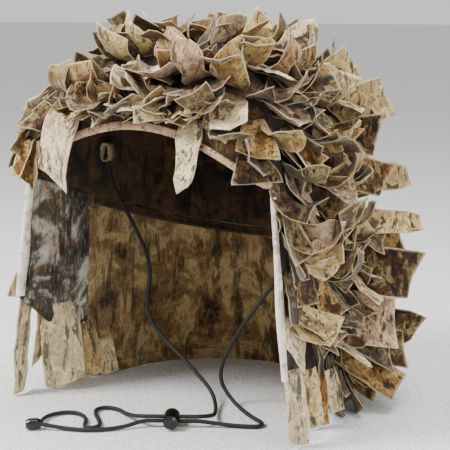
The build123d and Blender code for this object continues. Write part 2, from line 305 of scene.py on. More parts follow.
def ramp(tree, factor, stops: list[tuple[float, str]], smooth: bool = True):
    """Colour ramp from (place, hex colour) stops; returns its colour socket."""
    node = add_node(tree, "ShaderNodeValToRGB", {"Fac": factor})
    node.color_ramp.interpolation = "EASE" if smooth else "LINEAR"
    while len(node.color_ramp.elements) < len(stops):
        node.color_ramp.elements.new(0.5)
    for element, (place, colour) in zip(node.color_ramp.elements, stops):
        element.position = place
        element.color = linear(colour)
    return node.outputs["Color"]


def blend_colour(tree, factor, first, second):
    """Mix two colours; returns the result's socket."""
    node = add_node(tree, "ShaderNodeMix", data_type="RGBA", blend_type="MIX")
    for socket, value in zip((node.inputs[0], node.inputs[6], node.inputs[7]), (factor, first, second)):
        if isinstance(value, bpy.types.NodeSocket):
            tree.links.new(value, socket)
        elif isinstance(value, str):
            socket.default_value = linear(value)
        else:
            socket.default_value = value
    return node.outputs[2]


def maths(tree, operation: str, first, second=0.0):
    """One arithmetic step; returns its value socket."""
    node = add_node(tree, "ShaderNodeMath", {0: first, 1: second}, operation=operation)
    return node.outputs[0]


@dataclass(frozen=True)
class CamoCloth:
    """Printed polyester cloth: matt, with a bark-and-dead-leaf print and a fine plain weave.

    The print's blotches are 13 to 40 mm, its bark cracks 6 to 10 mm apart and its fibres 2.4 mm.
    """

    name: str
    light: str
    middle: str
    dark: str
    crack: str
    blotch_mm: float
    crack_mm: float
    crack_share: float
    fibre_share: float = 0.16
    leafy: bool = False
    weave_mm: float = 0.9
    bump_mm: float = 0.5
    contrast: float = 1.3

    def build(self) -> bpy.types.Material:
        """Make the material's nodes."""
        material = bpy.data.materials.new(self.name)
        material.use_nodes = True
        tree = material.node_tree
        tree.nodes.clear()
        where = add_node(tree, "ShaderNodeTexCoord").outputs["Object"]
        seeds = add_node(tree, "ShaderNodeAttribute", attribute_name="strip")
        if self.leafy:
            shift = add_node(tree, "ShaderNodeVectorMath", {0: seeds.outputs["Vector"], 1: (3.7, 5.3, 2.9)},
                             operation="MULTIPLY").outputs[0]
            where = add_node(tree, "ShaderNodeVectorMath", {0: where, 1: shift}, operation="ADD").outputs[0]
        blotch = add_node(tree, "ShaderNodeTexNoise", {
            "Vector": where, "Scale": 1000 / self.blotch_mm, "Detail": 5.0, "Roughness": 0.62,
            "Distortion": 0.7}).outputs["Fac"]
        base = ramp(tree, blotch, [(0.33, self.dark), (0.46, self.middle), (0.57, self.light),
                                   (0.7, self.middle)])
        stretched = add_node(tree, "ShaderNodeMapping", {"Vector": where, "Scale": (1.0, 1.0, 0.22)})
        bark = add_node(tree, "ShaderNodeTexNoise", {
            "Vector": stretched.outputs[0], "Scale": 1000 / self.crack_mm, "Detail": 8.0,
            "Roughness": 0.68, "Distortion": 0.45}).outputs["Fac"]
        cracks = ramp(tree, bark, [(0.40, "ffffff"), (0.49, "000000"), (0.53, "000000"), (0.6, "8a8a8a")])
        base = blend_colour(tree, maths(tree, "MULTIPLY", cracks, self.crack_share), base, self.crack)
        rust = add_node(tree, "ShaderNodeTexNoise", {
            "Vector": where, "Scale": 1000 / (self.blotch_mm * 0.45), "Detail": 3.0}).outputs["Fac"]
        rusty = ramp(tree, rust, [(0.54, "000000"), (0.64, "ffffff")])
        base = blend_colour(tree, maths(tree, "MULTIPLY", rusty, 0.34), base, "8a5a26")
        speck = add_node(tree, "ShaderNodeTexVoronoi", {"Vector": where, "Scale": 1000 / 4.2,
                                                        "Randomness": 1.0}).outputs["Distance"]
        dots = ramp(tree, speck, [(0.1, "ffffff"), (0.22, "000000")])
        base = blend_colour(tree, maths(tree, "MULTIPLY", dots, 0.75), base, "2a2118")
        fibre_map = add_node(tree, "ShaderNodeMapping", {"Vector": where, "Scale": (1.0, 1.0, 0.3),
                                                         "Rotation": (0.5, 0.3, 0.0)})
        fibre = add_node(tree, "ShaderNodeTexNoise", {"Vector": fibre_map.outputs[0],
                                                      "Scale": 1000 / 2.4, "Detail": 3.0}).outputs["Fac"]
        pale = ramp(tree, fibre, [(0.56, "000000"), (0.66, "ffffff")])
        base = blend_colour(tree, maths(tree, "MULTIPLY", pale, self.fibre_share), base, "cbbd9c")
        if self.leafy:
            parts = add_node(tree, "ShaderNodeSeparateXYZ", {0: seeds.outputs["Vector"]})
            tint = ramp(tree, parts.outputs[0], [
                (0.0, "1d140c"), (0.12, "4a3620"), (0.24, "8a6b3c"), (0.36, "cdb27c"), (0.46, "f3e6c4"),
                (0.56, "fbf2da"), (0.66, "d8c4b6"), (0.74, "a2702e"), (0.84, "f0e2c0"), (0.94, "55502e")],
                smooth=False)
            base = blend_colour(tree, 0.56, base, tint)
            base = blend_colour(tree, maths(tree, "MULTIPLY", cracks, 0.62), base, self.crack)
            base = blend_colour(tree, maths(tree, "MULTIPLY", dots, 0.8), base, "1c150e")
            under = blend_colour(tree, 0.14, base, "d8caa6")
            base = blend_colour(tree, parts.outputs[2], base, under)
            edge = add_node(tree, "ShaderNodeAttribute", attribute_name="rim").outputs["Fac"]
            base = blend_colour(tree, maths(tree, "MULTIPLY", edge, 0.5), base, "efe4c8")
        base = add_node(tree, "ShaderNodeGamma", {"Color": base, "Gamma": self.contrast}).outputs[0]
        weave = add_node(tree, "ShaderNodeTexNoise", {
            "Vector": where, "Scale": 1000 / self.weave_mm, "Detail": 1.0}).outputs["Fac"]
        rough = add_node(tree, "ShaderNodeTexNoise", {
            "Vector": where, "Scale": 1000 / 9.0, "Detail": 4.0}).outputs["Fac"]
        height = maths(tree, "ADD", maths(tree, "MULTIPLY", weave, 0.35), rough)
        bump = add_node(tree, "ShaderNodeBump", {"Height": height, "Strength": 0.5,
                                                 "Distance": self.bump_mm * MM}).outputs[0]
        shader = add_node(tree, "ShaderNodeBsdfPrincipled", {
            "Base Color": base, "Roughness": 0.88, "Specular IOR Level": 0.25,
            "Sheen Weight": 0.15, "Sheen Roughness": 0.5, "Normal": bump})
        add_node(tree, "ShaderNodeOutputMaterial", {"Surface": shader.outputs[0]})
        return material


@dataclass(frozen=True)
class Tape:
    """Folded binding tape, flecked with dark print marks."""

    name: str
    ground: str = "c9bda3"
    fleck: str = "43362a"
    share: float = 0.6
    fleck_mm: float = 7.0

    def build(self) -> bpy.types.Material:
        """Make the material's nodes."""
        material = bpy.data.materials.new(self.name)
        material.use_nodes = True
        tree = material.node_tree
        tree.nodes.clear()
        where = add_node(tree, "ShaderNodeTexCoord").outputs["Object"]
        spots = add_node(tree, "ShaderNodeTexNoise", {
            "Vector": where, "Scale": 1000 / self.fleck_mm, "Detail": 5.0, "Roughness": 0.7}).outputs["Fac"]
        mask = ramp(tree, spots, [(0.5, "000000"), (0.6, "ffffff")])
        base = blend_colour(tree, maths(tree, "MULTIPLY", mask, self.share), self.ground, self.fleck)
        broad = add_node(tree, "ShaderNodeTexNoise", {"Vector": where, "Scale": 1000 / 30.0}).outputs["Fac"]
        stained = ramp(tree, broad, [(0.45, "000000"), (0.65, "ffffff")])
        base = blend_colour(tree, maths(tree, "MULTIPLY", stained, 0.5), base, "9a8260")
        rib = add_node(tree, "ShaderNodeTexNoise", {"Vector": where, "Scale": 1000 / 1.2}).outputs["Fac"]
        bump = add_node(tree, "ShaderNodeBump", {
            "Height": rib, "Strength": 0.4, "Distance": 0.0004}).outputs[0]
        shader = add_node(tree, "ShaderNodeBsdfPrincipled", {
            "Base Color": base, "Roughness": 0.85, "Specular IOR Level": 0.25, "Normal": bump})
        add_node(tree, "ShaderNodeOutputMaterial", {"Surface": shader.outputs[0]})
        return material


@dataclass(frozen=True)
class Plain:
    """One-colour finish with fine surface grain: moulded acetal, braided cord, wire, paper."""

    name: str
    colour: str
    roughness: float
    metallic: float = 0.0
    grain_mm: float = 0.8
    grain_depth_mm: float = 0.1

    def build(self) -> bpy.types.Material:
        """Make the material's nodes."""
        material = bpy.data.materials.new(self.name)
        material.use_nodes = True
        tree = material.node_tree
        tree.nodes.clear()
        where = add_node(tree, "ShaderNodeTexCoord").outputs["Object"]
        grain = add_node(tree, "ShaderNodeTexVoronoi", {"Vector": where, "Scale": 1000 / self.grain_mm})
        tone = blend_colour(tree, maths(tree, "MULTIPLY", grain.outputs["Distance"], 0.5),
                            self.colour, "000000")
        bump = add_node(tree, "ShaderNodeBump", {"Height": grain.outputs["Distance"], "Strength": 0.6,
                                                 "Distance": self.grain_depth_mm * MM}).outputs[0]
        shader = add_node(tree, "ShaderNodeBsdfPrincipled", {
            "Base Color": tone, "Roughness": self.roughness, "Metallic": self.metallic, "Normal": bump})
        add_node(tree, "ShaderNodeOutputMaterial", {"Surface": shader.outputs[0]})
        return material


@dataclass
class Finishes:
    """Every finish of the hood, made once."""

    made: dict = field(default_factory=dict)

    def prepare(self) -> None:
        """Build each material."""
        kinds = [
            CamoCloth("outer cloth print", light="6b5637", middle="46341f", dark="1d150d", crack="0a0806",
                      blotch_mm=32.0, crack_mm=9.0, crack_share=0.8),
            # Crown inner print: the same kind of bark print, made darker than the outer one as painted shade
            # for the crown's shadowed inside.
            CamoCloth("crown inner cloth print darkened as painted shade", light="5b4529", middle="3a2a19", dark="17110b",
                      crack="090705", blotch_mm=40.0, crack_mm=10.0, crack_share=0.75, fibre_share=0.05),
            CamoCloth("back drape cloth print", light="b7a27a", middle="8b7451", dark="4a3924",
                      crack="1d150d", blotch_mm=36.0, crack_mm=9.0, crack_share=0.6, fibre_share=0.22),
            CamoCloth("side drape cloth print", light="c4beb2", middle="5f5a52", dark="2a2723",
                      crack="0c0b0a", blotch_mm=34.0, crack_mm=8.0, crack_share=0.7, fibre_share=0.3),
            CamoCloth("leaf strip cloth print", light="e2d2a8", middle="94703f", dark="2e2114",
                      crack="0e0a06", leafy=True, crack_mm=6.0, blotch_mm=13.0, crack_share=0.8,
                      fibre_share=0.25, contrast=1.6),
            Tape("pale edge tape", ground="ece3d2", share=0.5),
            Tape("brow piping tape", ground="c2a184", fleck="2a1e16", share=0.95, fleck_mm=3.6),
            Tape("seam tape", ground="8b7a5c", fleck="3b2f23"),
            Plain("black braided cord", "0d0f0d", 0.7, grain_mm=1.1, grain_depth_mm=0.35),
            Plain("black moulded acetal", "0a0a0b", 0.28, grain_mm=0.5, grain_depth_mm=0.01),
            Plain("drawn spring wire", "9a9a9a", 0.35, metallic=1.0, grain_mm=0.4, grain_depth_mm=0.01),
            Plain("sewing thread", "5a4a35", 0.8, grain_mm=0.4, grain_depth_mm=0.05),
            Plain("pale studio paper", "f6f6f5", 0.9, grain_mm=2.0, grain_depth_mm=0.0),
        ]
        for kind in kinds:
            self.made[kind.name] = kind.build()

    def dress(self, piece: bpy.types.Object, name: str) -> None:
        """Give a piece one finish."""
        piece.data.materials.clear()
        piece.data.materials.append(self.made[name])


# ------------------------------------------------------------------ leaf strips


@dataclass
class Leaf:
    """One die-cut strip: where it is sewn, which way it goes and how it bends."""

    root: Vector
    fall: Vector
    face: Vector
    length: float
    width: float
    form: int
    curl: float = 0.3
    cup: float = 0.2
    twist: float = 0.0
    tint: float = 0.5


LEAF_FORMS = [
    [0.78, 0.92, 1.0, 1.0, 0.98, 0.97, 0.95, 0.94, 0.93],
    [0.6, 0.86, 1.0, 0.94, 0.8, 0.62, 0.4, 0.16, 0.04],
    [0.5, 0.6, 0.7, 0.8, 0.9, 1.0, 1.08, 1.1, 1.1],
    [0.82, 1.0, 1.02, 0.92, 0.84, 0.8, 0.78, 0.6, 0.5],
    [0.6, 0.95, 0.98, 0.72, 0.9, 1.05, 0.85, 0.55, 0.3],
]
WALL_GAP = 0.0014
FLOOR_GAP = 0.0008
REACH_MARGIN = 0.0165       # how far a strip may pass the frame's own box
CALM_SIDE = (245.0, 322.0)  # azimuths where the strips lie flat on the cloth
ACROSS = (-1.0, -0.9, -0.45, 0.0, 0.45, 0.9, 1.0)
ALONG = (0.0, 0.14, 0.28, 0.42, 0.56, 0.7, 0.84, 0.955, 1.0)
STRIP_THICKNESS = 0.00055
HANG_WIDTH = 0.022
ROW_SEED, HANG_SEED = 40, 7


@dataclass
class LeafBed:
    """A row of leaf strips as one mesh."""

    name: str
    leaves: list = field(default_factory=list)
    on_wall: bool = True

    def add(self, leaf: Leaf) -> None:
        """Put one more strip in the row."""
        self.leaves.append(leaf)

    def fitted(self, leaf: Leaf) -> list[Vector]:
        """Points of one strip, made shorter until it stays within the hood's own reach."""
        for _ in range(9):
            points = self.grid(leaf)
            if all(REACH[0][k] < v < REACH[1][k] for point in points for k, v in enumerate(point) if k < 2
                   or v > 0.1):
                break
            leaf.length *= 0.86
            leaf.curl *= 0.9
        return points

    def grid(self, leaf: Leaf) -> list[Vector]:
        """Points of one strip's middle layer, row by row from its root."""
        fall, face = leaf.fall.normalized(), leaf.face.normalized()
        face = (face - fall * face.dot(fall)).normalized()
        side = face.cross(fall).normalized()
        skew = 0.4 * math.sin(leaf.tint * 37 + leaf.form)
        crease = leaf.form % 2 == 0
        points, centre, before = [], leaf.root.copy(), 0.0
        for share, half in zip(ALONG, LEAF_FORMS[leaf.form % len(LEAF_FORMS)]):
            angle = leaf.curl * share ** 1.2
            heading = fall * math.cos(angle) + face * math.sin(angle)
            normal = face * math.cos(angle) - fall * math.sin(angle)
            centre = centre + heading * leaf.length * (share - before)
            before = share
            turn = leaf.twist * share
            across = side * math.cos(turn) + normal * math.sin(turn)
            lifted = normal * math.cos(turn) - side * math.sin(turn)
            for u in ACROSS:
                bend = leaf.cup * leaf.width * half * (abs(u) * 0.8 - 0.2 if crease else u * u * 0.6 - 0.2)
                crinkle = 0.0022 * noise.noise((centre + across * u * leaf.width) * 110)
                slant = heading * (skew * u * leaf.width * 0.5 * share ** 5)
                point = (centre + across * (u * half * leaf.width / 2) + slant
                         + lifted * (bend + crinkle))
                if self.on_wall:
                    point = clear_of_wall(point)
                point.z = max(point.z, FLOOR_GAP)
                points.append(point)
        return points

    def build(self) -> bpy.types.Object:
        """Make every strip with two faces, a rim and its attributes."""
        verts, faces, strip, rim, uvs = [], [], [], [], []
        columns, rows = len(ACROSS), len(ALONG)
        for number, leaf in enumerate(self.leaves):
            points = self.fitted(leaf)
            start = len(verts)
            lifts = []
            for k, point in enumerate(points):
                j, i = divmod(k, columns)
                right = points[k + 1] if i < columns - 1 else point
                left = points[k - 1] if i else point
                after = points[k + columns] if j < rows - 1 else point
                prior = points[k - columns] if j else point
                normal = (after - prior).cross(right - left)
                lifts.append(normal.normalized() * STRIP_THICKNESS / 2)
            for layer in (1, -1):
                for k, point in enumerate(points):
                    j, i = divmod(k, columns)
                    verts.append(point + lifts[k] * layer)
                    strip.append((leaf.tint, (number * 0.618) % 1.0, 0.0 if layer > 0 else 1.0))
                    rim.append(1.0 if i in (0, columns - 1) or j == rows - 1 else 0.0)
                    uvs.append((ACROSS[i] * 0.5 + 0.5, ALONG[j]))
            half = len(points)
            for j in range(rows - 1):
                for i in range(columns - 1):
                    a = start + j * columns + i
                    quad = (a, a + columns, a + columns + 1, a + 1)
                    faces.append(quad)
                    faces.append(tuple(v + half for v in reversed(quad)))
            ring = list(range(columns))
            ring += [j * columns + columns - 1 for j in range(1, rows)]
            ring += [(rows - 1) * columns + i for i in range(columns - 2, -1, -1)]
            ring += [j * columns for j in range(rows - 2, 0, -1)]
            for here, there in zip(ring, ring[1:] + ring[:1]):
                faces.append((start + here, start + there, start + there + half, start + here + half))
        made = mesh_object(self.name, verts, faces)
        data = made.data
        for key, kind, values in (("strip", "FLOAT_VECTOR", strip), ("rim", "FLOAT", rim)):
            attribute = data.attributes.new(key, kind, "POINT")
            field_name = "vector" if kind == "FLOAT_VECTOR" else "value"
            attribute.data.foreach_set(field_name, np.array(values, np.float32).ravel())
        layer = data.uv_layers.new(name="UVMap")
        for loop in data.loops:
            layer.data[loop.index].uv = uvs[loop.vertex_index]
        return made


def wall_table(outline: np.ndarray) -> list[float]:
    """Outline's radius for each degree round it, in metres."""
    table, samples = {}, 8 * 360
    for k in range(samples):
        x, y = along_outline(outline, k / samples)
        table[int(math.degrees(math.atan2(x, -y)) % 360)] = math.hypot(x, y) * MM
    return [table.get(k, table.get((k + 1) % 360, 0.1)) for k in range(360)]


WALL_RADII = [wall_table(outline) for outline in OUTLINES]
REACH = ([v - REACH_MARGIN for v in CAD_BOX[0]], [v + REACH_MARGIN for v in CAD_BOX[1]])


def clear_of_wall(point: Vector) -> Vector:
    """Push a point out of the hood's cloth, and up off the floor."""
    degree = int(math.degrees(math.atan2(point.x, -point.y)) % 360)
    height = point.z / MM
    low = min(max(0.0, 1 - height / CROWN_BASE), 1.0)
    radius = WALL_RADII[0][degree] * (1 - low) + WALL_RADII[1][degree] * low
    reach = max(math.hypot(point.x, point.y), 1e-5)
    made = point.copy()
    share = reach / radius
    if height > CROWN_BASE and share < 0.8:
        roof = CROWN_BASE + (TOP - CROWN_BASE) * (1 - share ** DOME_POWER) ** (1 / DOME_POWER)
        made.z = max(made.z, roof * MM + WALL_GAP)
    elif height < TOP:
        wanted = radius * dome_share(height) + WALL_GAP
        if reach < wanted:
            made.x *= wanted / reach
            made.y *= wanted / reach
    made.z = max(made.z, FLOOR_GAP)
    return made


def place_round(azimuth: float, height: float) -> float:
    """Place on the outline for an azimuth in degrees, 0 in front and 90 on the wearer's left."""
    wanted = azimuth % 360
    low, high = 0.0, 1.0
    for _ in range(26):
        middle = (low + high) / 2
        point = surface(middle, min(height, 300))
        if math.degrees(math.atan2(point.x, -point.y)) % 360 < wanted:
            low = middle
        else:
            high = middle
    return low


def wall_frame(t: float, height: float, out: float) -> tuple[Vector, Vector, Vector]:
    """Point on the cloth, its outward normal, and the way down along it."""
    point = surface(t, height, out)
    beside = surface(t + 0.004, height, out) - point
    lower = surface(t, height - 2.0, out) - point
    normal = lower.cross(beside).normalized()
    if normal.dot(Vector((point.x, point.y, 0.02))) < 0:
        normal = -normal
    return point, normal, lower.normalized()


def strip_at(azimuth: float, height: float, yaw: float, lift: float, length: float, width: float,
             form: int, curl: float, tint: float, cup: float = 0.2, twist: float = 0.0) -> Leaf:
    """One strip sewn on the hood's wall.

    Args:
        azimuth: degrees round the hood, 0 in front and 90 on the wearer's left.
        height: its root's height, in millimetres.
        yaw: degrees that it swings sideways from straight down.
        lift: degrees that it stands off the wall.
        length: its length, in millimetres.
        width: its width, in millimetres.
        form: which cut it has.
        curl: how far it bends outward over its length, in radians.
        tint: place in the print's range of colours, from 0 to 1.
        cup: how far its sides fold.
        twist: how far it turns about its own length, in radians.

    Returns:
        The strip.
    """
    point, normal, down = wall_frame(place_round(azimuth, height), height, 0.6)
    turn, rise = math.radians(yaw), math.radians(lift)
    heading = down * math.cos(turn) + normal.cross(down) * math.sin(turn)
    fall = heading * math.cos(rise) + normal * math.sin(rise)
    face = normal * math.cos(rise) - heading * math.sin(rise)
    return Leaf(point, fall, face, length * MM, width * MM, form, curl, cup, twist, tint)


@dataclass
class LeafRow:
    """A stitched row round the hood, in the frame's own row and place."""

    node: str
    height: float
    azimuths: tuple
    lift: tuple
    length: float
    width: float
    extra: int = 2
    wander: float = 9.0
    hang: Hang = Hang.CURLED
    # Share of strips whose tint is turned dark: besides the print's random tone, it is set low on the top,
    # brow and right-side rows that face the lamps and higher down the crown and on the back rows, as painted
    # shade.
    dark: float = 0.0
    heroes: tuple = ()

    def leaves(self, seed: int) -> list[Leaf]:
        """Strips of this row, each with its own bend."""
        draw = Random(seed)
        first, last, count = self.azimuths
        made = []
        for k in range(count * self.extra):
            along = (last - first) * (k + draw.uniform(-0.35, 0.35))
            azimuth = first + along / max(count * self.extra - 1, 1)
            azimuth = min(max(azimuth, first), last)
            height = min(self.height + draw.uniform(-self.wander, self.wander), TOP - 3.0)
            lift = draw.uniform(*self.lift)
            length = self.length * draw.uniform(0.75, 1.25)
            place = place_round(azimuth, height)
            if min(place, 1 - place) < T_FRONT:
                room = 1.3 * (height - crown_edge(place) - 2.0)
                if length > room:
                    lift = max(lift, draw.uniform(28, 66))
                    length = min(length, max(room / math.cos(math.radians(lift)), 22.0))
            curl = draw.uniform(-0.6, 0.8)
            if CALM_SIDE[0] < azimuth % 360 < CALM_SIDE[1]:
                lift, length, curl = lift * 0.25, length * 0.9, min(curl, 0.1)
            elif self.hang is Hang.LOOPED and draw.random() < 0.3:
                curl = draw.uniform(1.3, 2.6)
            tint = draw.random()
            # Painted shade on top of the print's random tone: the row's dark share darkens some tints.
            if draw.random() < self.dark:
                tint *= 0.3
            made.append(strip_at(azimuth, height, math.degrees(draw.gauss(0, 0.55)), lift,
                                 length, self.width * draw.uniform(0.75, 1.2),
                                 draw.choice((0, 0, 2, 3, 1, 4)), curl, tint, draw.uniform(-0.32, 0.32),
                                 draw.uniform(-0.7, 0.7)))
        for hero in self.heroes:
            made.append(strip_at(*hero))
        return made


# ------------------------------------------------------------------ bands, piping and stitching


def band(name: str, centre, steps: int, half: float, inner: float, outer: float,
         upright: bool = False, puff: float = 1.0, swell: float = 0.0) -> bpy.types.Object:
    """Folded strip that follows the cloth.

    Args:
        name: the piece's name.
        centre: gives (place, height) for a share from 0 to 1.
        steps: rings along it.
        half: half its width, in millimetres.
        inner: how far its inside lies from the cloth's outer face, in millimetres.
        outer: the same for its outside.
        upright: True where it runs up and down the hood.
        puff: power of its rounded section, 1 for an oval and less for a flatter one.
        swell: how much wider it is in its middle, as a share of its width.

    Returns:
        The strip as a closed tube.
    """
    sides = 12
    verts, faces = [], []
    middle, depth = (inner + outer) / 2, (outer - inner) / 2
    for k in range(steps + 1):
        t, height = centre(k / steps)
        for n in range(sides):
            angle = 2 * math.pi * n / sides
            cosine, sine = math.cos(angle), math.sin(angle)
            wide = math.copysign(abs(cosine) ** puff, cosine) * half
            wide *= 1 + swell * math.sin(math.pi * min(1.0, 1.4 * k / steps)) ** 2
            deep = middle + math.copysign(abs(sine) ** puff, sine) * depth
            if upright:
                verts.append(surface(t + wide / OUTLINE_LENGTH, height, deep))
            else:
                verts.append(surface(t, height + wide, deep))
    for k in range(steps):
        for n in range(sides):
            a, b = k * sides + n, k * sides + (n + 1) % sides
            faces.append((a, b, b + sides, a + sides))
    faces.append(tuple(reversed(range(sides))))
    faces.append(tuple(range(steps * sides, (steps + 1) * sides)))
    made = mesh_object(name, verts, faces)
    mesh = bmesh.new()
    mesh.from_mesh(made.data)
    bmesh.ops.recalc_face_normals(mesh, faces=mesh.faces)
    mesh.to_mesh(made.data)
    mesh.free()
    return made


def stitch_tree() -> bpy.types.GeometryNodeTree:
    """Geometry Nodes tree that sews thread stitches along a curve."""
    tree = bpy.data.node_groups.new("sewn stitches", "GeometryNodeTree")
    face = tree.interface
    face.new_socket("Geometry", in_out="INPUT", socket_type="NodeSocketGeometry")
    for label, value in (("Spacing", 0.0032), ("Stitch Length", 0.0023), ("Thread Radius", 0.00032)):
        socket = face.new_socket(label, in_out="INPUT", socket_type="NodeSocketFloat")
        socket.default_value = value
    face.new_socket("Thread", in_out="INPUT", socket_type="NodeSocketMaterial")
    face.new_socket("Geometry", in_out="OUTPUT", socket_type="NodeSocketGeometry")
    into = tree.nodes.new("NodeGroupInput")
    dots = tree.nodes.new("GeometryNodeResampleCurve")
    dots.mode = "LENGTH"
    thread = tree.nodes.new("GeometryNodeMeshCylinder")
    thread.inputs["Vertices"].default_value = 6
    heading = tree.nodes.new("GeometryNodeInputTangent")
    align = tree.nodes.new("FunctionNodeAlignRotationToVector")
    align.axis = "Z"
    sow = tree.nodes.new("GeometryNodeInstanceOnPoints")
    whole = tree.nodes.new("GeometryNodeRealizeInstances")
    paint = tree.nodes.new("GeometryNodeSetMaterial")
    out = tree.nodes.new("NodeGroupOutput")
    link = tree.links.new
    link(into.outputs["Geometry"], dots.inputs["Curve"])
    link(into.outputs["Spacing"], dots.inputs["Length"])
    link(into.outputs["Thread Radius"], thread.inputs["Radius"])
    link(into.outputs["Stitch Length"], thread.inputs["Depth"])
    link(heading.outputs[0], align.inputs["Vector"])
    link(dots.outputs[0], sow.inputs["Points"])
    link(thread.outputs["Mesh"], sow.inputs["Instance"])
    link(align.outputs[0], sow.inputs["Rotation"])
    link(sow.outputs[0], whole.inputs[0])
    link(whole.outputs[0], paint.inputs["Geometry"])
    link(into.outputs["Thread"], paint.inputs["Material"])
    link(paint.outputs[0], out.inputs[0])
    return tree


@dataclass
class Seamstress:
    """Sews rows of stitches along lines on the cloth."""

    finishes: Finishes
    tree: bpy.types.GeometryNodeTree = None

    def sew(self, name: str, points: list[Vector], body: str = "hood") -> bpy.types.Object:
        """Sew one row.

        Args:
            name: the piece's name.
            points: the line that it follows, in metres.
            body: the body that it rides on.

        Returns:
            The stitches as one mesh.
        """
        if self.tree is None:
            self.tree = stitch_tree()
        line = bpy.data.curves.new(name + "_line", "CURVE")
        line.dimensions = "3D"
        spline = line.splines.new("POLY")
        spline.points.add(len(points) - 1)
        for place, point in zip(spline.points, points):
            place.co = (*point, 1.0)
        path = bpy.data.objects.new(name + "_line", line)
        bpy.context.scene.collection.objects.link(path)
        modifier = path.modifiers.new("stitches", "NODES")
        modifier.node_group = self.tree
        for item in self.tree.interface.items_tree:
            if item.in_out == "INPUT" and item.name == "Thread":
                modifier[item.identifier] = self.finishes.made["sewing thread"]
        graph = bpy.context.evaluated_depsgraph_get()
        mesh = bpy.data.meshes.new_from_object(path.evaluated_get(graph))
        bpy.data.objects.remove(path)
        made = bpy.data.objects.new(name, mesh)
        bpy.context.scene.collection.objects.link(made)
        if not mesh.materials:
            mesh.materials.append(self.finishes.made["sewing thread"])
        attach(made, body)
        return made


# ------------------------------------------------------------------ sub-assemblies


